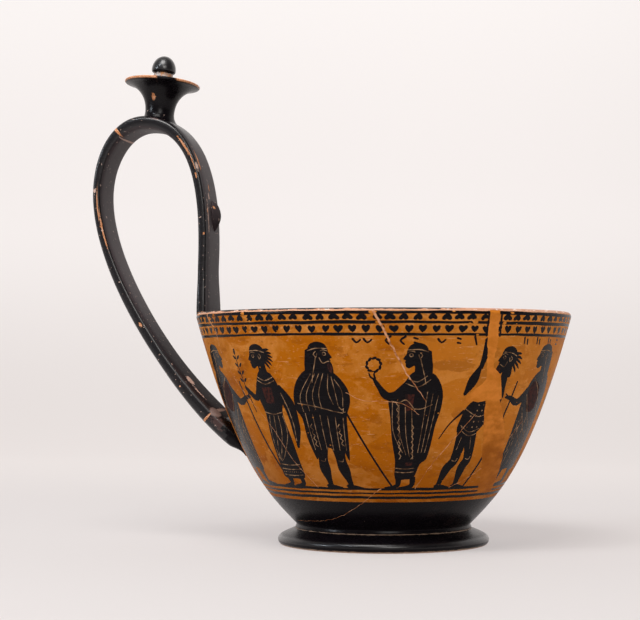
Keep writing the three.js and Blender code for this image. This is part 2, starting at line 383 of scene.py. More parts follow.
# The painting. The bands and figures were brushed on in a slip that fired glossy black, their
# inner lines were cut through it to the clay, and some parts were covered in added red. It is
# colour alone, so it is cut into the wall's own surface as areas, and nothing is raised.
# Places are (x, y): the length round the wall at painting_radius, and the length up it.
painter = random.Random(7)
painting_radius = 77.5
full_circle = 2 * math.pi * painting_radius
painting = []


def smooth_line(points, closed=False, steps=5):
    """Points along a smooth curve that passes through the given ones."""
    count = len(points)
    line = []
    for i in range(count if closed else count - 1):
        if closed:
            a, b, c, d = (points[(i + k - 1) % count] for k in range(4))
        else:
            a, b, c, d = (points[min(max(i + k - 1, 0), count - 1)] for k in range(4))
        for step in range(steps):
            t = step / steps
            line.append(tuple(
                0.5 * (2 * b[k] + (c[k] - a[k]) * t + (2 * a[k] - 5 * b[k] + 4 * c[k] - d[k]) * t ** 2
                       + (3 * b[k] - a[k] - 3 * c[k] + d[k]) * t ** 3)
                for k in range(2)))
    if not closed:
        line.append(tuple(points[-1]))
    return line


def brush(points, widths, steps=4):
    """One stroke of a brush: a smooth line whose width changes evenly, with a rounded end."""
    line = smooth_line(points, steps=steps)
    left = []
    right = []
    for i, (x, y) in enumerate(line):
        ahead = line[min(i + 1, len(line) - 1)]
        behind = line[max(i - 1, 0)]
        dx, dy = ahead[0] - behind[0], ahead[1] - behind[1]
        length = math.hypot(dx, dy) or 1
        place = i / (len(line) - 1) * (len(widths) - 1)
        index = min(int(place), len(widths) - 2)
        share = place - index
        share = share * share * (3 - 2 * share)
        half = (widths[index] + (widths[index + 1] - widths[index]) * share) / 2
        left.append((x - dy / length * half, y + dx / length * half))
        right.append((x + dy / length * half, y - dx / length * half))
    ends = []
    for (x, y), (bx, by), width in ((line[-1], line[-2], widths[-1]), (line[0], line[1], widths[0])):
        length = math.hypot(x - bx, y - by) or 1
        reach = width * 0.4
        ends.append((x + (x - bx) / length * reach, y + (y - by) / length * reach))
    return left + [ends[0]] + right[::-1] + [ends[1]]


def gloss(points, widths, **how):
    """A stroke of the slip."""
    return [("gloss", brush(points, widths, **how))]


def shape(points, kind="gloss", steps=3):
    """An area with a smooth outline."""
    return [(kind, smooth_line(points, closed=True, steps=steps))]


def cut(points, width=0.36, end_width=None, **how):
    """A line cut through the slip."""
    return [("incised", brush(points, [width, end_width or width], **how))]


def folds(first, last, count):
    """Fold lines cut evenly between two border lines of a garment."""
    lines = []
    for i in range(count):
        share = i / (count - 1)
        line = [(a[0] + (b[0] - a[0]) * share, a[1] + (b[1] - a[1]) * share) for a, b in zip(first, last)]
        lines += cut(line, 0.27, 0.27 * 0.8)
    return lines


def wavy(start, end, waves, swing):
    """A wavy incised border between two points."""
    (x0, y0), (x1, y1) = start, end
    length = math.hypot(x1 - x0, y1 - y0)
    nx, ny = -(y1 - y0) / length, (x1 - x0) / length
    points = []
    for i in range(2 * waves + 1):
        side = swing * (-1) ** i
        share = i / (2 * waves)
        points.append((x0 + (x1 - x0) * share + nx * side, y0 + (y1 - y0) * share + ny * side))
    return cut(points, 0.3, steps=2)


def hoop(kind, x, y, radius, width, sides):
    points = [(x + radius * math.cos(2 * math.pi * i / sides), y + radius * math.sin(2 * math.pi * i / sides))
              for i in range(sides)]
    return (kind, brush(points + points[:1], [width, width], steps=1))


def spot(kind, x, y, rx, ry, turn=0.0, sides=8):
    c, s = math.cos(turn), math.sin(turn)
    return (kind, [(x + rx * math.cos(a) * c - ry * math.sin(a) * s,
                    y + rx * math.cos(a) * s + ry * math.sin(a) * c)
                   for a in (2 * math.pi * i / sides for i in range(sides))])


def leg(hip, knee, ankle, thigh=6.0, calf=5.0):
    """A bare leg and its foot, pointing forward."""
    (knee_x, knee_y), (ankle_x, ankle_y) = knee, ankle
    middle = (knee_x * 0.45 + ankle_x * 0.55 - 0.5, knee_y * 0.6 + ankle_y * 0.4)
    kneecap = [(knee_x - 1.1, knee_y - 0.6), (knee_x + 0.6, knee_y - 1.0), (knee_x + 1.2, knee_y + 0.4)]
    return (gloss([hip, knee, middle, ankle, (ankle_x, 1.2)], [thigh, thigh * 0.72, calf, 2.4, 2.2])
            + gloss([(ankle_x - 1.2, 1.3), (ankle_x + 1.2, 1.0), (ankle_x + 5.2, 0.5)], [2.4, 2.0, 0.6])
            + cut(kneecap, 0.3))


def foot(ankle_x, ankle_y, heel_x):
    """A foot that shows below a robe, pointing forward."""
    return gloss([(ankle_x, ankle_y), (heel_x, 1.6), (heel_x + 5, 0.7)], [2.6, 2.2, 0.7])


def head(x, y, beard=False, long_hair=True, curls=0, tilt=0):
    """A head in profile, looking right, on plain proportions. x, y is the middle of the skull."""
    def at(*points):
        c, s = math.cos(tilt), math.sin(tilt)
        return [(x + px * c - py * s, y + px * s + py * c) for px, py in points]
    parts = shape(at(
        (-4.6, 0.5), (-3.6, 3.9), (-0.2, 5.3), (3.2, 4.3), (4.5, 2), (4.7, 0.6), (6, -1.6),
        (5, -2.2), (5.3, -3), (4.9, -3.6), (4.7, -5), (3.2, -5.7), (1, -4.6), (0.6, -8),
        (-3.6, -8), (-3.4, -3.4)))
    if beard:
        parts += shape(at((4.9, -3.2), (6, -6), (5.6, -9.2), (3.2, -7.6), (0.6, -5.2), (1.6, -2.6)))
        parts.append(("red", brush(at((4.4, -4.6), (4.6, -6.4), (4.9, -8.2)), [1.6, 2.2, 0.6])))
        parts += cut(at((0.4, -1.6), (1.6, -4), (3.8, -3.3), (4.6, -3.2)), 0.3)
    if long_hair:
        parts += gloss(at((-3, 1), (-4.2, -4), (-5.2, -9.2), (-5.6, -12.5)), [5.6, 4.8, 3.4, 2])
        parts += cut(at((-1.2, -1.4), (-2.2, -5), (-3.4, -9), (-4.2, -12.6)), 0.34, 0.3)
    for i in range(curls):
        turn = math.radians(150 + 75 * i / max(curls - 1, 1))
        base = (math.cos(turn) * 4, math.sin(turn) * 3.4 + 0.6)
        tip = (math.cos(turn) * 8.4, math.sin(turn) * 6.8 - 0.8)
        parts += gloss(at(base, (tip[0] * 0.8, tip[1] * 0.8 + 0.6), tip), [1.5, 1.2, 0.5])
    parts += cut(at((-4.4, 1.4), (-0.6, 2.4), (4.4, 2.2)), 0.42, 0.34)
    parts += cut(at((-1, 1), (-2, -0.2), (-0.9, -1.4), (-0.4, 0.2)), 0.3)
    parts.append(hoop("incised", *at((2.7, 0))[0], 0.75, 0.28, 7))
    parts += cut(at((1.2, 1.3), (2.6, 1.7), (4.2, 1.2)), 0.26, 0.2)
    return parts


def elder():
    """A bearded man wrapped in a short cloak, leaning on a staff in front of him."""
    cloak = [(0.5, 56.5), (-6, 55), (-10.8, 50), (-13, 43.5), (-12.6, 37.5), (-10.2, 33.5), (-9.4, 25),
             (-7.6, 18), (-6.2, 14.4), (-4.6, 18.6), (-1.5, 20.4), (2.6, 19.4), (6, 19.8), (8, 14),
             (8.9, 19), (9.6, 28), (10.2, 35), (12.4, 41), (12, 47), (8.4, 52.6), (4, 55.8)]
    parts = leg((-3.2, 21), (-3.6, 14.6), (-2.6, 3.4)) + leg((4.2, 21), (4.4, 14.6), (6.4, 3.4))
    parts += gloss([(9.4, 38), (16.5, 20), (24, 0.6)], [0.9, 0.9, 0.9])
    parts += shape(cloak)
    parts += head(1, 62.2, beard=True)
    parts += folds([(-3.4, 53.5), (-9.6, 44), (-9, 36.5)], [(2.2, 53.6), (-0.8, 45), (-0.4, 38)], 4)
    parts += folds([(4.4, 53.4), (3.4, 46), (5, 40)], [(6.8, 51), (9.4, 46), (9, 39)], 3)
    parts += cut([(-11.4, 40.4), (-3, 39), (4.6, 37), (8.6, 36.2)])
    parts += folds([(-8.4, 36), (-7.6, 28), (-6.4, 19)], [(8.4, 34), (8, 27), (7.6, 19)], 6)
    parts += wavy((-6.6, 31), (-5.2, 20.5), 4, 0.5) + wavy((5.8, 31), (6.6, 21), 4, 0.5)
    parts += cut([(7.2, 39), (8.4, 37.6), (9.2, 38.4), (8.8, 36.6), (9.8, 36.8)], 0.3, steps=2)
    return parts


def maiden():
    """A woman in a long belted robe, who holds a tall sprig before her."""
    robe = [(1.2, 55), (-3.8, 53.6), (-6.8, 48), (-7, 41), (-5.4, 35), (-6.4, 24), (-6.6, 12), (-6, 5),
            (0, 4.4), (5.6, 5), (5.8, 12), (5.6, 24), (4.6, 35), (6.2, 42), (5.6, 49), (3.6, 53.4)]
    parts = foot(-4, 5.6, -3.6) + foot(2.6, 5.6, 3)
    parts += shape(robe)
    parts += gloss([(-5.6, 47), (-9.8, 40), (-10.4, 30), (-8.6, 20)], [5, 6, 4.6, 1.2])
    parts += head(1.4, 61.4, long_hair=False, curls=6)
    parts += gloss([(4, 49), (7.6, 42.6), (12.6, 46), (14.2, 47.6)], [3.6, 3.2, 2, 1.3])
    parts += gloss([(10.6, 36), (13.6, 46.6), (15.8, 57), (16.4, 62)], [0.5, 0.6, 0.5, 0.4])
    for k in range(4):
        lift = 50 + 3.4 * k
        stem_x = 14.3 + 0.55 * k
        for side in (-1, 1):
            parts.append(spot("gloss", stem_x + side * 1.4, lift + 0.6, 1.35, 0.62, turn=0.75 * side))
    parts += [spot("gloss", 16.6, 63.4, 0.8, 1.5)]
    parts += cut([(-4.6, 52), (0.4, 50.4), (4.4, 52.2)])
    parts += cut([(-5, 50.4), (0.4, 48.8), (4.8, 50.6)])
    parts += [("red", [(-2.6, 47.4), (3, 47.4), (2.4, 40.2), (-2.4, 40.2)])]
    parts += cut([(-5.4, 36.2), (0, 35.2), (4.8, 36.2)])
    parts += folds([(-5, 34.6), (-4.8, 26), (0.6, 16), (3.6, 13)],
                   [(2.6, 34.6), (4.2, 28), (4.8, 20), (4.6, 14)], 4)
    for height in (11.6, 9.4, 6.4):
        parts += cut([(-5.8, height), (0, height - 0.5), (5.2, height)])
    parts += [spot("incised", -4.8 + 1.2 * i, 7.7, 0.26, 0.26, sides=5) for i in range(9)]
    parts += cut([(-7, 45), (-9, 38), (-9.6, 30), (-8.6, 23)], 0.34, 0.3)
    return parts


def matron():
    """A woman in a wide mantle, who lifts a wreath in one hand."""
    mantle = [(-0.5, 55), (-6.6, 53), (-10.2, 46), (-10, 38), (-8.2, 31), (-7, 22), (-5.6, 15),
              (-3, 12.4), (-1.2, 6), (2, 5), (6.8, 5.4), (7.6, 14), (9.8, 24), (11.2, 34), (12.6, 43),
              (9.6, 46.6), (6, 50.4), (3.6, 53.8)]
    parts = foot(-0.6, 6, -0.4) + foot(5.4, 6, 5.6)
    parts += shape(mantle)
    parts += head(1.6, 61.6)
    parts += gloss([(9.6, 43.6), (13.6, 44), (17.2, 48.4), (19.2, 51.4)], [4.8, 3.4, 2, 1.2])
    parts += gloss([(18.6, 51), (20.6, 52.2), (21.4, 54)], [0.9, 0.8, 0.5])
    parts += gloss([(18.6, 51.4), (19.2, 53.2), (18.8, 54.8)], [0.9, 0.8, 0.4])
    wreath_x, wreath_y, wreath_r = 19.6, 57.4, 2.9
    for i in range(9):
        turn = math.radians(-60 + 300 * i / 8)
        parts.append(spot("gloss", wreath_x + wreath_r * math.cos(turn), wreath_y + wreath_r * math.sin(turn),
                          1.15, 0.62, turn=turn + 1.2))
    parts.append(hoop("gloss", wreath_x, wreath_y, wreath_r, 0.5, 12))
    parts += cut([(-3, 52.6), (1, 50), (4.8, 51.4)], 0.34)
    parts += cut([(-4.6, 51), (0.6, 47.8), (5.8, 49.4)], 0.34)
    parts += [("red", [(1.8, 44.6), (5.8, 44.6), (5.4, 37), (2.4, 37.6)])]
    parts += folds([(10.8, 41), (9.6, 28), (4.8, 18)], [(2.6, 38), (1.4, 26), (0.2, 15)], 4)
    parts += wavy((8.8, 40.6), (5.6, 15), 9, 0.42) + wavy((1.6, 31), (0.6, 15), 6, 0.42)
    parts += cut([(11.4, 41.6), (8, 41), (5, 42), (1.2, 37.6)], 0.34)
    parts += folds([(-8.4, 44), (-6.8, 33), (-4.6, 18)], [(-3.6, 45.6), (-2.8, 34), (-1.6, 18)], 3)
    parts += cut([(-6, 40), (-1, 38), (3.2, 38.6)], 0.34)
    for height in (10.6, 8.8):
        parts += cut([(-0.8, height), (3, height - 0.4), (7, height)])
    parts += [("red", [(0.2, 13.8), (3.2, 13.4), (3, 11.6), (0.2, 12)])]
    return parts


def strider():
    """A youth in a spotted skin who bends forward as he strides and looks back, the skin flying."""
    body = [(-8.6, 27.6), (-8.2, 33.4), (-6.4, 39), (-2, 42.6), (4, 45.2), (10.4, 45.4), (11.6, 41.4),
            (8.8, 36), (4.6, 31), (0.8, 26.4), (-4, 24.4)]
    parts = leg((-5, 27), (-5.8, 14.6), (-9.4, 3.4), thigh=6.2, calf=4.4)
    parts += leg((-1.4, 27), (0.6, 15.4), (-1.4, 3.4), thigh=6.2, calf=4.4)
    parts += shape(body)
    parts += [(kind, [(21.6 - x, y) for x, y in outline])
              for kind, outline in head(10.6, 60.4, beard=True, long_hair=False, curls=5, tilt=0.1)]
    parts += gloss([(8.4, 44), (10, 50), (10.4, 56)], [8, 4.6, 3])
    parts += gloss([(-8.8, 44.4), (-6, 50.6), (-3.4, 57.4)], [1.6, 4.8, 1.4])
    parts += gloss([(-3.4, 56), (-2.4, 62), (-2.6, 68.6)], [2.2, 3, 2.6])
    parts += gloss([(-7.4, 37), (-12.6, 31.4), (-16, 24.4)], [1.4, 0.7, 0.5])
    for i in range(24):
        row, column = divmod(i, 4)
        x = -6.4 + 2.5 * column + 1.2 * (row % 2) + 1.5 * row
        parts.append(spot("incised", x, 29.6 + 2.5 * row, 0.40, 0.30, turn=0.7 * column))
    parts += cut([(-7.2, 30.4), (-2.4, 27.4), (2.6, 29)], 0.32)
    parts += cut([(-6.4, 28), (-2.2, 25.6), (1.6, 26.6)], 0.32)
    parts += cut([(-6.8, 38), (0.4, 34.4), (6.4, 37), (9, 41.6)], 0.3)
    parts += cut([(-5.4, 25), (-6.4, 19)], 0.3, 0.2)
    parts += cut([(-0.8, 25), (0.4, 19.4)], 0.3, 0.2)
    return parts


def companion():
    """A beardless man in a long mantle that leaves one shoulder bare, one hand held out."""
    mantle = [(0.5, 55), (-5.6, 53.6), (-9, 47), (-9.6, 39), (-8.6, 28), (-7.8, 16), (-6.8, 8), (-1, 8.6),
              (4, 7.6), (6.6, 9), (7.4, 20), (8, 32), (8.2, 42), (6.6, 49.6), (3.6, 53.8)]
    parts = gloss([(-3.6, 10), (-3.4, 4), (-3.2, 1.6), (2, 0.7)], [4, 2.6, 2.2, 0.7])
    parts += gloss([(3.6, 10), (3.8, 4), (4, 1.6), (9.2, 0.7)], [4, 2.6, 2.2, 0.7])
    parts += shape(mantle)
    parts += head(1.2, 61.6)
    parts += gloss([(6, 46), (11, 40.6), (15.6, 42.6), (18.2, 43)], [4.2, 3.4, 2, 1])
    parts += gloss([(16.6, 42.8), (18.4, 44.6)], [0.9, 0.5])
    parts += gloss([(14.6, 50), (16.4, 26), (19, 0.4)], [0.7, 0.9, 0.8])
    parts += cut([(5.6, 52.6), (-1, 46), (-6.4, 36), (-8.4, 30)])
    parts += shape([(-1.6, 47.6), (4.4, 50), (6, 44), (3, 36), (-3, 37.6)], kind="red", steps=2)
    parts += folds([(4.6, 34), (4.2, 22), (4.6, 10.4)], [(-5.6, 32), (-6.2, 21), (-5.4, 10.4)], 4)
    parts += folds([(6.4, 44), (0, 33), (-6.8, 26)], [(7, 32), (2, 24), (-6.2, 17)], 3)
    parts += wavy((5.8, 33), (5.8, 11), 8, 0.42)
    return parts


handle_to_camera = 100


def on_wall(turn, height):
    """A place of the painting from degrees round from the camera's side and a height."""
    return ((turn + handle_to_camera) % 360 / 360 * full_circle, wall.length_at(height))


def band(low, high, wobble=0.12):
    """A stripe all round the wall between two heights, with a hand-drawn edge."""
    edges = []
    for height, phase in ((low, painter.uniform(0, 6)), (high, painter.uniform(0, 6))):
        length = wall.length_at(height)
        edge = []
        for i in range(181):
            turn = 2 * math.pi * i / 180
            wave = math.sin(5 * turn + phase) + 0.7 * math.sin(17 * turn + 2 * phase)
            wave += 0.5 * math.sin(41 * turn)
            edge.append((full_circle * i / 180, length + wobble * wave))
        edges.append(edge)
    painting.append(("gloss", edges[0] + edges[1][::-1]))


for low, high in ((101.9, 103.1), (107.2, 108.6), (111.6, 113.1), (30.3, 31.5), (28.4, 29.3), (26.1, 27.4)):
    band(low, high)
plain_gloss_height = 24
band(20, plain_gloss_height + 0.5, wobble=0.03)

leaf_row_radius = 92
half_leaf = [(0.0, 0.0), (0.24, 0.2), (0.44, 0.5), (0.5, 0.76), (0.38, 0.97), (0.18, 1.0), (0.03, 0.86)]


def leaf(turn, tip_height, base_height, width):
    """One ivy leaf, from its tip to its two lobes, a little askew."""
    x, tip = on_wall(turn, tip_height)
    base = wall.length_at(base_height)
    lean = painter.uniform(-0.5, 0.5)
    width *= painter.uniform(0.82, 1.1) * painting_radius / leaf_row_radius
    outline = half_leaf + [(-across, along) for across, along in half_leaf[:0:-1]]
    painting.append(("gloss", [
        (x + across * width + lean * along, tip + (base - tip) * along) for across, along in outline]))


leaf_count = 90
upper_tip = 112.1
upper_base = 108.8
lower_tip = 103
lower_base = 106.8
for i in range(leaf_count):
    turn = 360 * (i + 0.5) / leaf_count
    leaf(turn + painter.uniform(-0.2, 0.2), upper_tip, upper_base + painter.uniform(0, 0.4), 5)
    leaf(turn + 1.2 + painter.uniform(-0.2, 0.2), lower_tip + painter.uniform(0, 0.4),
         lower_base - painter.uniform(0, 0.3), 4.4)

figure_scale = 1.1
ground_height = 31
ground = wall.length_at(ground_height)


def stand(figure, turn, facing, breadth=1):
    """Sets a figure on the ground line, facing right (1) or left (-1)."""
    x0 = on_wall(turn, ground_height)[0]
    for kind, outline in figure:
        places = []
        for x, y in outline:
            length = ground + y * figure_scale
            radius = wall.at(length)[0]
            places.append((x0 + facing * x * breadth * figure_scale / radius * painting_radius, length))
        painting.append((kind, places))


procession = (
    (companion, -69, 1, 1.3), (maiden, -41, -1), (elder, -20.5, 1), (matron, 11.5, -1), (strider, 34, 1),
    (companion, 63, -1, 1.3), (matron, 88, 1), (strider, 113, 1), (elder, 142, -1),
    (maiden, 165, 1), (companion, 188, -1), (elder, 210, 1), (matron, 236, -1))
for figure, *stance in procession:
    stand(figure(), *stance)

mark_strokes = (
    [[(-0.9, 4.2), (0.4, 0.2)]],
    [[(-1.7, 3.0), (-0.2, 1.2), (1.5, 2.6)]],
    [[(-1.1, 4.0), (-0.6, 1.0)], [(0.9, 3.2), (1.4, 0.6)]],
    [[(1.1, 4.0), (-0.9, 2.2), (0.6, 0.3)]],
    [[(-0.8, 3.4), (0.9, 2.8)], [(-0.6, 1.2), (0.9, 0.8)]])
mark_turns = [-7.6, -4.4, 1.4, 5.7, 9.5, 17.3, 22.6, 28.3, 47.8, 54.3, 61.5, 68]
for first_turn, spacing, count in ((82, 5.5, 9), (152, 5.2, 7), (196, 5.6, 10)):
    mark_turns += [first_turn + spacing * i for i in range(count)]
mark_height = 97.6
for turn in mark_turns:
    x0, y0 = on_wall(turn, mark_height)
    for stroke in mark_strokes[painter.randrange(len(mark_strokes))]:
        painting += gloss([(x0 + x, y0 + y) for x, y in stroke], [1.05, 0.8], steps=3)

# Its damage. Breaks run through the wall and were glued, their lines filled, and a lost strip
# from the rim down was made up in plain tinted plaster and never painted.
fill_left = [(31.7, 113.6), (32.0, 101), (33.2, 92), (34.5, 82), (37.5, 63), (42.5, 44), (49.5, 27.5)]
fill_right = [(61.5, 27.5), (56.5, 42), (50.5, 56), (44.5, 68), (39.5, 78), (36.4, 88), (35.8, 100),
              (35.0, 113.6)]
ragged = []
for line in (fill_left, fill_right):
    for x, y in smooth_line([on_wall(*place) for place in line], steps=8):
        ragged.append((x + painter.uniform(-0.3, 0.3), y + painter.uniform(-0.2, 0.2)))
painting.append(("fill", ragged))
for line in ([(31.2, 113.0), (31.5, 101.8)], [(35.6, 113.0), (36.4, 101.8)]):
    painting += gloss([on_wall(*place) for place in line], [1.0, 0.9])
lost_flake = [(27.9, 74.2), (30.1, 76.9), (33.1, 79.9), (35.2, 83.5), (36, 88), (40, 84), (43, 73),
              (40, 71), (37, 72.4), (33, 71.4), (30.4, 72.2), (28, 71)]
painting.append(("fill", [on_wall(*place) for place in lost_flake]))

breaks = (
    ([(-3.1, 113.6), (-0.9, 107.9), (3.5, 94.5), (6.6, 86.3), (10, 79.5), (14, 72)],
     [1.1, 0.9, 0.75, 0.6, 0.4, 0.2]),
    ([(-0.9, 31.1), (-6.1, 27.1), (-11.4, 23.1), (-23.6, 17.1), (-36.1, 14.4), (-50.8, 13.4), (-66, 12.9)],
     [0.4, 0.24, 0.18, 0.14, 0.14, 0.18]),
    ([(-65.0, 113.6), (-63.4, 108.7), (-61.0, 104.9), (-61.6, 96.0)], [0.8, 0.6, 0.4, 0.2]),
    ([(-61.6, 96.0), (-56, 80), (-44, 60), (-38, 44), (-30, 31)], [0.2, 0.2, 0.22, 0.2]),
    ([(-12, 76), (-6, 72.5), (5, 71.5), (12, 66)], [0.25, 0.25, 0.2]),
    ([(33, 66), (26, 54), (19, 42), (14, 31)], [0.3, 0.35, 0.25]),
    ([(60, 62), (44, 40), (30, 31)], [0.3, 0.25]),
    ([(86, 113.6), (90, 92), (84, 70), (92, 48), (88, 24)], [0.7, 0.4, 0.5, 0.3, 0.3]),
    ([(84, 70), (112, 64), (140, 71), (166, 60)], [0.4, 0.35, 0.3, 0.2]),
    ([(150, 113.6), (146, 90), (140, 71), (134, 44), (137, 12)], [0.8, 0.5, 0.4, 0.4, 0.3]),
    ([(214, 113.6), (208, 94), (213, 70), (206, 40)], [0.6, 0.4, 0.4, 0.2]))
for line, widths in breaks:
    points = smooth_line([on_wall(*place) for place in line], steps=7)
    shaky = [(x + painter.uniform(-0.25, 0.25), y + painter.uniform(-0.25, 0.25)) for x, y in points[1:-1]]
    painting.append(("mend", brush([points[0]] + shaky + [points[-1]], widths, steps=1)))


def chip(turn, height, size):
    """A flake of slip that is gone, so that the clay shows."""
    x0, y0 = on_wall(turn, height)
    count = 7
    painting.append(("chip", [
        (x0 + size * painter.uniform(0.5, 1.2) * math.cos(2 * math.pi * i / count),
         y0 + 0.7 * size * painter.uniform(0.5, 1.2) * math.sin(2 * math.pi * i / count))
        for i in range(count)]))


small_chips = 150
for i in range(small_chips):
    chip(painter.uniform(0, 355), painter.uniform(27, 112), painter.uniform(0.15, 0.45) ** 1.3 * 1.6)
larger_chips = (
    (-3, 112.5, 1.6), (-1.6, 108, 1.1), (-44.5, 112.6, 1.4), (-43.8, 110, 1.5), (-43.5, 104.9, 1.2),
    (-63.2, 110.6, 1.3), (-62.2, 107.2, 1.1), (-61.5, 104.2, 0.9), (-65, 108.4, 0.8), (27, 108.2, 1.7),
    (29.4, 106.4, 1.3), (30.6, 109.2, 1), (25.4, 107.2, 0.9), (37.4, 108, 1.3), (28.4, 102.4, 0.8),
    (-60, 112.4, 1.2), (86, 112.2, 1.4), (150, 112, 1.6), (214, 111.8, 1.5), (120, 112.6, 1),
    (39.6, 112.4, 1.1), (-72, 106, 0.9), (20, 112.9, 0.7))
for place in larger_chips:
    chip(*place)

# The finishes. The clay fired orange under a thin wash that has worn off in patches, and the
# slip fired a glossy black that shows brush streaks, specks of clay and rubbed edges.
clay = Finish("orange clay", specular_ior_level=0.03)
blotch = clay.noise(11, detail=6, roughness=0.62)
patches = clay.noise(24, detail=7, roughness=0.6, stretch=(1, 1, 1.6), distortion=0.6)
by_the_bands = clay.step(clay.height(), 98, 106)
wash = clay.step(patches + (blotch - 0.5) * 0.35 - by_the_bands * 0.05, 0.47, 0.53)
thick_wash = clay.step(clay.noise(17, detail=4, roughness=0.5, stretch=(1, 1, 2.2)), 0.50, 0.72)
bare_clay = clay.mix(clay.step(blotch, 0.35, 0.65), (0.40, 0.122, 0.006), (0.53, 0.195, 0.034))
washed_clay = clay.mix(thick_wash, (0.40, 0.112, 0.002), (0.27, 0.068, 0.0012))
ground_colour = clay.mix(wash, bare_clay, washed_clay)
spots = clay.step(clay.noise(10, detail=6, roughness=0.6, stretch=(1, 1, 2.6)), 0.585, 0.615)
ground_colour = clay.mix(spots * 0.55, ground_colour, (0.27, 0.070, 0.0015))
near_side = 1 - clay.step(clay.place(1), -5, 5)
stain_edge = clay.noise(6, detail=6, roughness=0.65, stretch=(1, 1, 2))
for stain_x, stain_z, across, along in ((45, 88.5, 9, 2.8), (61, 79, 7, 16), (24, 52, 5, 9), (-36, 72, 5, 4)):
    out_across = (clay.place(0) - stain_x) * (1 / across)
    out_along = (clay.height() - stain_z) * (1 / along)
    outside = clay.step(out_across ** 2 + out_along ** 2 + (stain_edge - 0.5) * 5, 0.7, 1.2)
    ground_colour = clay.mix((1 - outside) * near_side * 0.85, ground_colour, (0.25, 0.064, 0.001))
pits = clay.step(clay.noise(0.9, detail=4, roughness=0.65), 0.60, 0.68)
scuffs = clay.step(clay.noise(2.1, detail=5, roughness=0.75, stretch=(1, 1, 1.8)) + by_the_bands * 0.04,
                   0.58, 0.68)
scratches = clay.step(clay.noise(3.0, detail=2, stretch=(0.25, 0.25, 3.0), distortion=2.0), 0.68, 0.71)
pitted = clay.mix(pits * 0.4, ground_colour, (0.13, 0.045, 0.008))
scuffed = clay.mix((scuffs * 0.32).larger(scratches * 0.5), pitted, (0.70, 0.40, 0.20))
by_the_lip = clay.step(clay.height(), 112.9, 113.3)
# Painted shade: the clay is darker towards the bottom, and the patches make the edge of this darker part
# ragged.
low_down = 1 - clay.step(clay.height() + (patches - 0.5) * 30, 28, 66)
painted_shade_low = clay.mix(low_down * 0.35, scuffed, (0.17, 0.040, 0.002))
# Painted light: the clay is paler towards +X, the side on the camera's right, except low down.
painted_light_right = clay.step(clay.place(0) + (patches - 0.5) * 40, 10, 56) * (1 - low_down)
lit_clay = clay.mix(painted_light_right * 0.30, painted_shade_low, (0.78, 0.290, 0.045))
clay.feed("Base Color", clay.mix(by_the_lip * 0.75, lit_clay, (0.62, 0.36, 0.25)))
clay.feed("Roughness", 0.52 + (blotch - 0.5) * 0.2 - wash * 0.1)
clay.bump(clay.noise(1.2, detail=4, roughness=0.6) * 0.4 + clay.noise(7, stretch=(1, 1, 3)) * 0.6, 0.10)


def glossy(name, sheen):
    """Fired black slip: the finish, its colour before any wear, and its brush streaks."""
    made = Finish(name, specular_ior_level=sheen)
    streak = made.noise(6, detail=4, roughness=0.6, stretch=(1, 1, 2.6))
    thin = made.step(made.noise(31) + (streak - 0.5) * 0.4, 0.60, 0.74)
    deep = made.mix(streak, (0.0022, 0.0014, 0.0020), (0.0052, 0.0038, 0.0052))
    return made, made.mix(thin * 0.3, deep, (0.018, 0.010, 0.009)), streak


slip, slip_body, streak = glossy("black gloss", 0.09)
flecks = slip.step(slip.noise(1.2, detail=3, roughness=0.7), 0.76, 0.80)
foot_edge = 1 - slip.step(slip.height() + slip.noise(3) * 0.8, 0.9, 1.3)
collar_join = 1 - slip.step(abs(slip.height() - 8.15) + (slip.noise(4, detail=4) - 0.5) * 1.0, 0.08, 0.24)
bare = (flecks * 0.7).larger(foot_edge).larger(collar_join * 0.65)
slip.feed("Base Color", slip.mix(bare, slip_body, (0.34, 0.23, 0.16)))
slip.feed("Roughness", 0.20 + streak * 0.14 + bare * 0.35)
slip.bump(slip.noise(2.2, detail=4, roughness=0.6) * 0.5 + streak * 0.5 - bare * 0.5, 0.07)
foot_shoulder = slip.step(slip.height(), 1.8, 2.6) * (1 - slip.step(slip.height(), 4.2, 5.4))
slip.shader.inputs["Coat Roughness"].default_value = 0.3
slip.feed("Coat Weight", foot_shoulder * 0.7)

incised_line = Finish("incised line", roughness=0.6, specular_ior_level=0.05)
incised_line.feed("Base Color", incised_line.mix(
    incised_line.step(incised_line.noise(3, detail=3), 0.38, 0.62), (0.08, 0.040, 0.020), (0.36, 0.21, 0.11)))

red = Finish("added red", roughness=0.65, specular_ior_level=0.08)
red.feed("Base Color", red.mix(red.step(red.noise(1.5, detail=4, roughness=0.7), 0.4, 0.6),
                               (0.055, 0.014, 0.010), (0.012, 0.006, 0.006)))

fill = Finish("tinted plaster", roughness=0.6, specular_ior_level=0.06)
fill_blotch = fill.step(fill.noise(9, detail=5, roughness=0.6, stretch=(1, 1, 1.8)), 0.3, 0.7)
# Painted shade: the plaster is darker towards the bottom and lighter higher up.
fill_upper = fill.mix(fill_blotch, (0.52, 0.160, 0.013), (0.70, 0.232, 0.034))
fill_lower = fill.mix(fill_blotch, (0.30, 0.082, 0.004), (0.44, 0.135, 0.012))
fill_lit_high = fill.step(fill.height() + (fill_blotch - 0.5) * 10, 40, 76)
fill.feed("Base Color", fill.mix(fill_lit_high, fill_lower, fill_upper))
fill.bump(fill.noise(1.1, detail=3), 0.12)

mend = Finish("glued break", roughness=0.7, specular_ior_level=0.05)
mend.feed("Base Color", mend.mix(mend.step(mend.noise(3, detail=4), 0.4, 0.6), (0.30, 0.10, 0.03),
                                 (0.60, 0.30, 0.16)))
mend.bump(mend.noise(0.8, detail=3), 0.15)

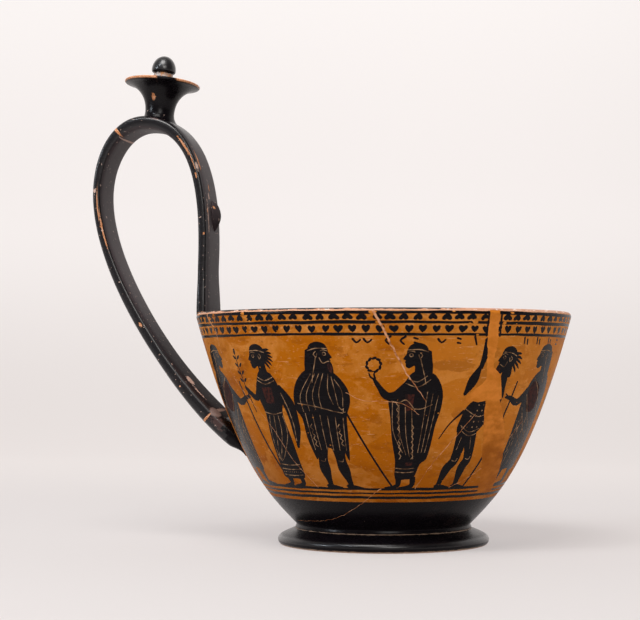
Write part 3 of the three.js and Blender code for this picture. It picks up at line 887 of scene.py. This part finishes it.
lip = Finish("worn lip", roughness=0.55, specular_ior_level=0.3)
lip_noise = lip.noise(6, detail=6, roughness=0.7)
worn_right = lip.step(lip.place(0), 40, 60)
lip_left = lip.step(lip.height() + (lip_noise - 0.5) * 3.4 - worn_right * 1.2, rim_height - 0.75,
                    rim_height - 0.45)
lip_worn = lip.mix(lip.noise(5, detail=5), (0.42, 0.17, 0.08), (0.66, 0.38, 0.26))
lip_colour = lip.mix(lip.step(lip.noise(2.4, detail=4, roughness=0.7), 0.58, 0.64), lip_worn,
                     (0.85, 0.72, 0.64))
lip.feed("Base Color", lip.mix(lip_left, lip_colour, (0.012, 0.008, 0.008)))
lip.bump(lip.noise(1.2, detail=4), 0.2)

# The painted wall's surface: its outlines, with a plain net of points between them, are joined
# into triangles in the flat, each takes its finish, and then it is wrapped round the axis.
finish_order = ("clay", "gloss", "incised", "red", "fill", "mend")
border = 0.03
flat_points = []
flat_edges = []
for kind, outline in painting:
    start = len(flat_points)
    count = len(outline)
    for x, y in outline:
        if x not in (0, full_circle):
            x = min(max(x, border), full_circle - border)
        flat_points.append((x, min(max(y, border), painted_top - border)))
    flat_edges += [(start + i, start + (i + 1) % count) for i in range(count)]
net_step = 2.4
net_rows = int(painted_top / net_step)
net_columns = int(full_circle / net_step)
for row in range(1, net_rows):
    shift = 0.5 * (row % 2)
    for column in range(net_columns + 1):
        x = min(max((column + shift) / net_columns, 0), 1) * full_circle
        if column == 0:
            x = 0
        flat_points.append((x, painted_top * row / net_rows))
for i in range(around + 1):
    flat_points += [(full_circle * i / around, 0), (full_circle * i / around, painted_top)]
cut_points, cut_edges, cut_faces = geometry.delaunay_2d_cdt(
    [Vector(point) for point in flat_points], flat_edges, [], 0, 1e-4, False)[:3]
places = numpy.array([tuple(point) for point in cut_points])
corners = numpy.array([face for face in cut_faces if len(face) == 3])
middles = places[corners].mean(axis=1)


def inside(outline, x, y):
    """Which places lie inside an outline, by counting how often it winds round them."""
    winding = numpy.zeros(len(x), int)
    for (x0, y0), (x1, y1) in zip(outline, outline[1:] + outline[:1]):
        side = (x1 - x0) * (y - y0) - (x - x0) * (y1 - y0)
        winding += ((y0 <= y) & (y1 > y) & (side > 0)).astype(int)
        winding -= ((y1 <= y) & (y0 > y) & (side < 0)).astype(int)
    return winding != 0


covered = {kind: numpy.zeros(len(middles), bool) for kind in finish_order[1:] + ("chip",)}
for kind, outline in painting:
    xs, ys = zip(*outline)
    near = numpy.nonzero((middles[:, 0] > min(xs)) & (middles[:, 0] < max(xs))
                         & (middles[:, 1] > min(ys)) & (middles[:, 1] < max(ys)))[0]
    if len(near):
        found = inside(outline, middles[near, 0], middles[near, 1])
        covered[kind][near[found]] = True
covered["gloss"][middles[:, 1] < wall.length_at(plain_gloss_height)] = True
finish_index = numpy.zeros(len(middles), int)
for kind, where in (
        ("gloss", covered["gloss"]), ("red", covered["gloss"] & covered["red"]),
        ("incised", covered["gloss"] & covered["incised"]), ("clay", covered["chip"]),
        ("mend", covered["mend"]), ("fill", covered["fill"])):
    finish_index[where] = finish_order.index(kind)

wall_verts = []
for x, y in places:
    radius, height = wall.at(y)[:2]
    turn = math.pi + x / painting_radius
    wall_verts.append(bowl_form.verts.new((radius * math.cos(turn), radius * math.sin(turn), height)))
for (a, b, c), slot in zip(corners, finish_index):
    face = bowl_form.faces.new((wall_verts[a], wall_verts[b], wall_verts[c]))
    face.material_index = int(slot)
merge_distance = 2e-3
bmesh.ops.remove_doubles(bowl_form, verts=bowl_form.verts, dist=merge_distance)
bmesh.ops.recalc_face_normals(bowl_form, faces=bowl_form.faces)
for vert in bowl_form.verts:
    vert.co *= mm
bowl_mesh = bpy.data.meshes.new("bowl")
bowl_form.to_mesh(bowl_mesh)
bowl_form.free()
for finish in (clay, slip, incised_line, red, fill, mend, lip):
    bowl_mesh.materials.append(finish.material)
bowl = linked("bowl", bowl_mesh)

# The handle: one strap of clay, pulled and bent by hand, luted to the lower wall and to the
# lip. A pointed boss sits on the side that faces the bowl, and a trumpet finial with an acorn
# button, turned on the wheel, was set on the arch while it was soft.
loop_reach = 53.9
loop_widest = 61.2
arch_reach = 29.3
arch_rise = 98
inner_setback = 2.6
inner_rise = 22.5
rim_root_setback = 2.8
rim_root_depth = 9
root_height = 52
root_proud = 1.7
root_way = Vector((-math.cos(math.radians(37.4)), 0, math.sin(math.radians(37.4))))
root_tail = 8.5


def strap_place(out, up):
    """A place in the handle's plane, from how far it is out from the rim and up from the lip."""
    return Vector((-rim_radius - out, 0, rim_height + up))


def bend(*corners, count=60):
    return list(geometry.interpolate_bezier(*corners, count))


def up_by(length):
    return Vector((0, 0, length))


def out_by(length):
    return Vector((-length, 0, 0))


root = Vector((-wall.at(wall.length_at(root_height))[0] - root_proud, 0, root_height))
tail_height = root_height - root_tail
tail = Vector((1.5 - wall.at(wall.length_at(tail_height))[0], 0, tail_height))
elbow = root - root_way * root_tail * 0.55
widest = strap_place(loop_reach, loop_widest)
arch = strap_place(arch_reach, arch_rise)
inner = strap_place(-inner_setback, inner_rise)
rim_root = strap_place(-rim_root_setback, -rim_root_depth)
lower_pull = (root - widest).length * 0.28
up_run = arch_rise - loop_widest
inner_run = arch_rise - inner_rise
rim_run = inner_rise + rim_root_depth
centre_line = bend(tail, tail.lerp(elbow, 2 / 3), root.lerp(elbow, 2 / 3), root, count=12)
joints = [len(centre_line) - 1]
for corners in (
        (root, root + root_way * lower_pull, widest - up_by(lower_pull), widest),
        (widest, widest + up_by(up_run * 0.54), arch + out_by((loop_reach - arch_reach) * 0.584), arch),
        (arch, arch - out_by((arch_reach + inner_setback) * 1.18), inner + up_by(inner_run * 0.13), inner),
        (inner, inner - up_by(rim_run / 3), rim_root + up_by(rim_run / 3), rim_root)):
    centre_line += bend(*corners)[1:]
    joints.append(len(centre_line) - 1)
run = [0.0]
for a, b in zip(centre_line, centre_line[1:]):
    run.append(run[-1] + (b - a).length)
root_run, widest_run, arch_run, inner_run_end = (run[i] for i in joints[:4])
strap_length = run[-1]
middle_inner_run = (arch_run + inner_run_end) / 2
width_stations = [
    (root_run, 30), ((root_run + widest_run) * 0.55, 23), (widest_run, 23.5), (arch_run, 25),
    (middle_inner_run, 27), (inner_run_end, 27), (strap_length - rim_root_depth, 30.5)]
thickness_stations = [
    (0, 1.5), (root_run, 9.6), ((root_run + widest_run) * 0.45, 6.9), (widest_run, 5.3), (arch_run, 7.3),
    (middle_inner_run, 5.9), (inner_run_end, 5.9), (strap_length - rim_root_depth, 6.8), (strap_length, 1.5)]


def between(stations, place):
    """A value that changes smoothly from one (place, value) station to the next."""
    index = 0
    while index < len(stations) - 2 and place > stations[index + 1][0]:
        index += 1
    (from_place, first), (to_place, second) = stations[index:index + 2]
    share = min(max((place - from_place) / (to_place - from_place), 0), 1)
    return first + (second - first) * share * share * (3 - 2 * share)


def strap_at(length):
    """The centre line's place and the way out of the loop, so many millimetres along it."""
    index = min(max(bisect.bisect(run, length) - 1, 0), len(run) - 2)
    share = (length - run[index]) / (run[index + 1] - run[index])
    ahead = (centre_line[min(index + 2, len(run) - 1)] - centre_line[max(index - 1, 0)]).normalized()
    return centre_line[index].lerp(centre_line[index + 1], share), Vector((-ahead.z, 0, ahead.x))


def flattened(value, power):
    return math.copysign(abs(value) ** power, value)


handle_form = bmesh.new()
strap_sides = 44
stations = 190
last_edges = None
for station in range(stations + 1):
    length = strap_length * station / stations
    centre, outward = strap_at(length)
    width = between(width_stations, length) + 0.2 * noise.noise((length / 23, 1.7, 0)) - 0.1
    thickness = between(thickness_stations, length) * (0.99 + 0.02 * noise.noise((length / 17, 5.1, 0)))
    section = bmesh.ops.create_circle(handle_form, segments=strap_sides, radius=1,
                                      cap_ends=station in (0, stations))["verts"]
    for vert in section:
        across = flattened(vert.co.x, 0.45) * width / 2
        out = flattened(vert.co.y, 0.55) * thickness / 2
        vert.co = centre + Vector((0, across, 0)) + outward * out
    edges = [edge for edge in {e for vert in section for e in vert.link_edges}
             if edge.verts[0] in section and edge.verts[1] in section]
    if last_edges:
        bmesh.ops.bridge_loops(handle_form, edges=last_edges + edges)
    last_edges = edges
bmesh.ops.recalc_face_normals(handle_form, faces=handle_form.faces)

boss_length = 18
boss_width = 9.6
boss_proud = 3.9
boss_seat = 1.2
boss_buried = 1.7
boss_sides = 40
boss_rings = 28
boss_top = inner_rise + 35.9
boss_run = next(length for length in range(int(arch_run), int(strap_length))
                if strap_at(length)[0].z < rim_height + boss_top)
boss_form = bmesh.new()
boss = bmesh.ops.create_uvsphere(boss_form, u_segments=boss_sides, v_segments=boss_rings,
                                 radius=1)["verts"]
for vert in boss:
    down = (1 - vert.co.z) / 2
    pinch = 1 if down < 0.4 else math.cos((down - 0.4) / 0.6 * math.pi / 2) ** 0.7
    centre, outward = strap_at(boss_run + boss_length * down)
    across = vert.co.x * boss_width / 2 * pinch
    ridge = max(1 - abs(vert.co.x), 0) ** 0.8
    proud = (boss_proud + boss_buried) * (0.3 + 0.7 * pinch) * (0.55 + 0.45 * ridge)
    out = boss_seat + max(vert.co.y, -0.2) * proud
    vert.co = centre + Vector((0, across, 0)) + outward * out

disc_radius = 19.35
stem_radius = 7.45
stem_depth = 13.3
disc_thickness = 1.3
button_radius = 6.2
collar = 4.9
button_height = 14.2
flare_radius = 13.2
flare_bottom = -28.5
flare_top = -24.5
flare_half_width = 10.4
stem_waist = -stem_depth - 2.4
finial_sides = 96
axis_merge_distance = 1e-4
finial_profile = [(0, flare_bottom), (flare_radius, flare_bottom), (flare_radius, flare_top)]
finial_profile += bezier((flare_radius, flare_top), (9.6, -21.4), (stem_radius, -19),
                         (stem_radius, stem_waist), 12)[1:]
finial_profile += bezier((stem_radius, stem_waist), (stem_radius, -stem_depth * 0.62),
                         (disc_radius * 0.6, -stem_depth * 0.2), (disc_radius - 0.5, -disc_thickness), 16)[1:]
finial_profile += [(disc_radius - 0.1, -disc_thickness * 0.7), (disc_radius, -0.45), (disc_radius - 0.3, 0)]
finial_profile += [(15, -0.35), (10, -0.5), (collar + 0.8, -0.2), (collar, 0.6), (collar, 4.9),
                   (collar + 0.3, 5.5)]
finial_profile += bezier((collar + 0.3, 5.5), (button_radius - 0.3, 5.3), (button_radius, 6.0),
                         (button_radius, 7.0), 5)[1:]
finial_profile += bezier((button_radius, 7.0), (button_radius, 10.6), (3.6, button_height),
                         (0, button_height), 14)[1:]
finial_form = bmesh.new()
verts = [finial_form.verts.new((radius, 0, height)) for radius, height in finial_profile]
edges = [finial_form.edges.new(pair) for pair in zip(verts, verts[1:])]
bmesh.ops.spin(finial_form, geom=verts + edges, cent=(0, 0, 0), axis=(0, 0, 1), angle=2 * math.pi,
               steps=finial_sides, use_merge=True)
bmesh.ops.remove_doubles(finial_form, verts=finial_form.verts, dist=axis_merge_distance)
bmesh.ops.recalc_face_normals(finial_form, faces=finial_form.faces)
for vert in finial_form.verts:
    if vert.co.z < -stem_depth:
        vert.co.y = max(min(vert.co.y, flare_half_width), -flare_half_width)
lean_to_bowl = math.radians(4.3)
lean_back = math.radians(-4)
lean = Matrix.Rotation(lean_to_bowl, 4, "Y") @ Matrix.Rotation(lean_back, 4, "X")
finial_inward = 7.2
finial_lift = 21.1
finial_place = strap_place(arch_reach - finial_inward, arch_rise + finial_lift)
bmesh.ops.transform(finial_form, matrix=Matrix.Translation(finial_place) @ lean, verts=finial_form.verts)
arch_line = [point for point in centre_line[joints[1]:joints[3]] if point.z > rim_height + inner_rise]
for vert in finial_form.verts:
    nearest = min(arch_line, key=lambda point: abs(point.x - vert.co.x))
    vert.co.z = max(vert.co.z, nearest.z)


# Its worn gloss, and painted sheen on the strap's faces that turn to the bowl and on the boss. Places on the
# strap are (along, across, out): millimetres from its lower end, across from its middle with the near edge
# negative, and out from the middle of its thickness.
worn, worn_body, worn_streak = glossy("worn gloss", 0.16)
worn.shader.inputs["Coat Roughness"].default_value = 0.34
strap_coordinates = worn.attribute("strap_place", output="Vector")
speckle = worn.noise(1.3, detail=5, roughness=0.75)
ragged_noise = worn.noise(4, detail=5, roughness=0.7)


def patch(place, reach, raggedness=1.7, coordinates=strap_coordinates):
    """A ragged worn patch: 1 inside the given reach each way of its place, 0 outside."""
    local = worn.node("ShaderNodeMapping", {"vector_type": "TEXTURE"},
                      {"Vector": coordinates, "Location": place, "Scale": reach})
    away = worn.node("ShaderNodeVectorMath", {"operation": "LENGTH"}, {0: local}, output=1)
    return 1 - worn.step(away + (speckle - 0.5) * 2 * raggedness, 0.85, 1.1)


def patches_of(places):
    whole = patch(*places[0])
    for place in places[1:]:
        whole = whole.larger(patch(*place))
    return whole


orange_wear = patches_of((
    ((153, -11.9, -0.5), (10, 1.3, 0.32)),
    ((140, -11.8, -1.15), (11, 1.3, 0.4)),
    ((234, -13.3, 0.1), (5.5, 1.5, 0.5)),
    ((242, -13.3, 0.6), (7, 1.5, 0.25)),
    ((86.8, -11.6, 0), (1.3, 1.4, 0.8)),
    ((244, -10.4, 3.0), (4.5, 0.8, 1.2)),
    ((251, -13.4, 0.2), (1.6, 1.0, 0.35)),
    ((281, -13.5, 0.9), (0.7, 1.0, 0.4)),
    ((193.4, -10.0, 1.8), (0.8, 6, 5), 0.35),
    ((28.0, -13.6, 1.6), (0.65, 3, 4.5), 0.5),
    ((49, -13.6, 0.8), (0.6, 1.0, 0.4)),
    ((267.3, -2.8, 4.6), (0.9, 0.7, 1.2)),
    ((257.5, -3.7, 3.2), (1.8, 0.8, 1.0)),
    ((269, -10.6, 2.9), (1.6, 0.6, 1.0)),
    ((321.4, -14.6, 0.8), (1.0, 2.0, 2.4)),
    ((322.0, -6, 3.2), (0.8, 9, 1.4))))
pale_wear = patches_of((
    ((160.6, -11.7, 0.9), (1.0, 1.2, 0.8)),
    ((49.1, -6.8, -3.8), (3.0, 3.0, 1.8), 0.6),
    ((41.5, -9.5, -4), (4.5, 0.9, 1.2)),
    ((247, -12.8, 1.8), (2.2, 0.8, 0.5)),
    ((272, -9.8, 3.1), (9, 0.6, 0.9)),
    ((192.2, 0, -2.6), (0.7, 12, 1.6), 0.3),
    ((27.4, -4, -4.4), (1.0, 12, 2), 0.3),
    ((261.8, -6.2, 3), (1.8, 1.2, 0.9))))
grey_filler = patch((26.9, -11.6, -3.2), (3.6, 3.6, 2.4), 0.35)
purple_wear = patches_of((
    ((20, -14.5, -1.4), (6.5, 2.4, 2.4)),
    ((13, -14.6, 0.4), (3.6, 2.0, 1.8)),
    ((214, -12.6, 2.4), (3, 1.0, 1.2))))
on_strap = worn.step(worn.attribute("strap_along"), 0.0, 0.5)
near_edge = worn.step(abs(worn.attribute("strap_across")), 0.84, 0.92) * on_strap
rubbed = near_edge * worn.step(speckle, 0.70, 0.74)

# The finial's places are measured from the middle of its disc's upper face, along its own axis.
finial_coordinates = worn.node("ShaderNodeMapping", {"vector_type": "TEXTURE"}, {
    "Vector": worn.coordinates(), "Location": finial_place, "Rotation": lean.to_euler()})
from_axis = worn.node("ShaderNodeVectorMath", {"operation": "LENGTH"}, {0: worn.node(
    "ShaderNodeVectorMath", {"operation": "MULTIPLY"}, {0: finial_coordinates, 1: (1, 1, 0)})}, output=1)
finial_height = worn.place(2, finial_coordinates)
finial_side = worn.place(0, finial_coordinates)
disc_edge = worn.step(from_axis + (ragged_noise - 0.5) * 1.2, disc_radius - 1.0, disc_radius - 0.6)
disc_edge = disc_edge * worn.step(finial_height, -1.4, -1.0) * (1 - worn.step(finial_height, 0.3, 0.5))
disc_edge = disc_edge * worn.step(abs(finial_side - 7.5) + (ragged_noise - 0.5) * 5, 4, 5.5)
collar_wear = (1 - worn.step(from_axis, 6.0, 6.4)) * worn.step(finial_height, -0.5, 0.2)
collar_wear = collar_wear * (1 - worn.step(finial_height + (speckle - 0.5) * 2, 4.6, 5.2))
stem_chip = patch((-116.8, -9.0, 225.6), (1.0, 1.6, 1.9), 2.2, worn.coordinates())

strap_out = worn.place(2, strap_coordinates)
past_arch = worn.step(worn.attribute("strap_along"), 222, 244)
up_strap = worn.step(worn.attribute("strap_along"), 58, 112) * 0.8 + 0.2
faces_bowl = (on_strap * (1 - past_arch) * worn.step(-strap_out, 1.7, 2.5)).larger(
    past_arch * worn.step(strap_out, 1.9, 2.6))
# Painted sheen: the strap's faces that turn to the bowl are a lighter purple-grey, less so towards the
# strap's lower end.
colour = worn.mix(faces_bowl * up_strap * (0.4 + worn_streak * 0.9), worn_body, (0.044, 0.030, 0.033))
# Painted sheen: the boss is a little lighter than the strap, in a ragged mottle.
painted_sheen_on_boss = on_strap * worn.step(strap_out, 3.2, 3.8) * past_arch
colour = worn.mix(painted_sheen_on_boss * (0.3 + ragged_noise), colour, (0.034, 0.026, 0.028))
colour = worn.mix(purple_wear * 0.8, colour, (0.075, 0.040, 0.036))
bare_tone = worn.mix(worn.step(speckle, 0.40, 0.60), (0.40, 0.150, 0.055), (0.64, 0.33, 0.19))
colour = worn.mix(orange_wear.larger(rubbed).larger(disc_edge).larger(stem_chip), colour, bare_tone)
flecks = worn.step(worn.noise(1.4, detail=1), 0.715, 0.745) * on_strap
colour = worn.mix((pale_wear * 0.75).larger(flecks * 0.5), colour, (0.66, 0.46, 0.38))
colour = worn.mix(collar_wear, colour, worn.mix(worn.step(ragged_noise, 0.45, 0.6), (0.50, 0.47, 0.46),
                                                (0.62, 0.28, 0.12)))
colour = worn.mix(grey_filler, colour, worn.mix(speckle, (0.17, 0.12, 0.11), (0.33, 0.24, 0.21)))
worn.feed("Base Color", colour)
bare = orange_wear.larger(pale_wear).larger(grey_filler).larger(rubbed)
worn.feed("Roughness", 0.20 + worn_streak * 0.14 + bare * 0.35 + faces_bowl * (0.44 - up_strap * 0.22))
button_shine = worn.step(finial_height, 5.5, 6.5) * (1 - worn.step(from_axis, 7, 8))
worn.feed("Coat Weight", (near_edge * 0.7).larger(button_shine) * (1 - bare))
worn.bump(worn.noise(2.2, detail=4, roughness=0.6) * 0.5 + worn_streak * 0.5 - bare * 0.8, 0.07)


def luted(form, name):
    """One shaped lump of clay as an object, in metres."""
    bmesh.ops.recalc_face_normals(form, faces=form.faces)
    bmesh.ops.scale(form, vec=(mm, mm, mm), verts=form.verts)
    mesh = bpy.data.meshes.new(name)
    form.to_mesh(mesh)
    form.free()
    mesh.materials.append(worn.material)
    return linked(name, mesh)


def joined_mesh(base, other, name):
    """The two meshes as one body, without what lies inside."""
    union = base.modifiers.new("union", "BOOLEAN")
    union.operation = "UNION"
    union.solver = "MANIFOLD"
    union.material_mode = "TRANSFER"
    union.object = other
    whole = bpy.data.meshes.new_from_object(base.evaluated_get(bpy.context.evaluated_depsgraph_get()))
    whole.name = name
    bpy.data.objects.remove(other)
    base.modifiers.clear()
    return whole


bowl.data = joined_mesh(bowl, luted(handle_form, "strap"), "bowl and strap")
bowl.data = joined_mesh(bowl, luted(boss_form, "boss"), "bowl, strap and boss")
bowl.data = joined_mesh(bowl, luted(finial_form, "finial"), "kyathos")
cup = bowl
cup.name = "clay_kyathos"

# How the light falls on the joined form, and where along the strap each place lies.
cup_mesh = cup.data
near_strap = kdtree.KDTree(len(centre_line))
for index, point in enumerate(centre_line):
    near_strap.insert(point * mm, index)
near_strap.balance()
strap_along = cup_mesh.attributes.new("strap_along", "FLOAT", "POINT")
strap_across = cup_mesh.attributes.new("strap_across", "FLOAT", "POINT")
strap_places = cup_mesh.attributes.new("strap_place", "FLOAT_VECTOR", "POINT")
off_strap = (-1000, 0, 0)
on_wall_within = 0.02
strap_spare_width = 3
strap_spare_depth = 9
strap_inside_rim = 14
normals = []
for vert in cup_mesh.vertices:
    x, y, z = (c / mm for c in vert.co)
    out = math.hypot(x, y)
    radius, height, normal_out, normal_up = wall.at(wall.length_at(z))
    if collar_height + 0.2 < z < rim_height - 1 and abs(out - radius) < on_wall_within:
        normals.append((normal_out * x / out, normal_out * y / out, normal_up))
        strap_along.data[vert.index].value = -1
        strap_places.data[vert.index].vector = off_strap
        continue
    normals.append(tuple(vert.normal))
    index = near_strap.find(vert.co)[1]
    before, after = centre_line[max(index - 1, 0)], centre_line[min(index + 1, len(run) - 1)]
    ahead = (after - before).normalized()
    aside = Vector((x, y, z)) - centre_line[index]
    length = run[index] + aside.dot(ahead)
    half_width = between(width_stations, length) / 2
    off = aside.dot(Vector((-ahead.z, 0, ahead.x)))
    held = (abs(y) < half_width + strap_spare_width and abs(off) < strap_spare_depth
            and out > rim_radius - strap_inside_rim)
    strap_along.data[vert.index].value = length if held else -1
    strap_across.data[vert.index].value = y / half_width
    strap_places.data[vert.index].vector = (length, y, off) if held else off_strap
for polygon in cup_mesh.polygons:
    polygon.use_smooth = True
cup_mesh.normals_split_custom_set_from_vertices(normals)

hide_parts("kyathos")
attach(cup, "root")
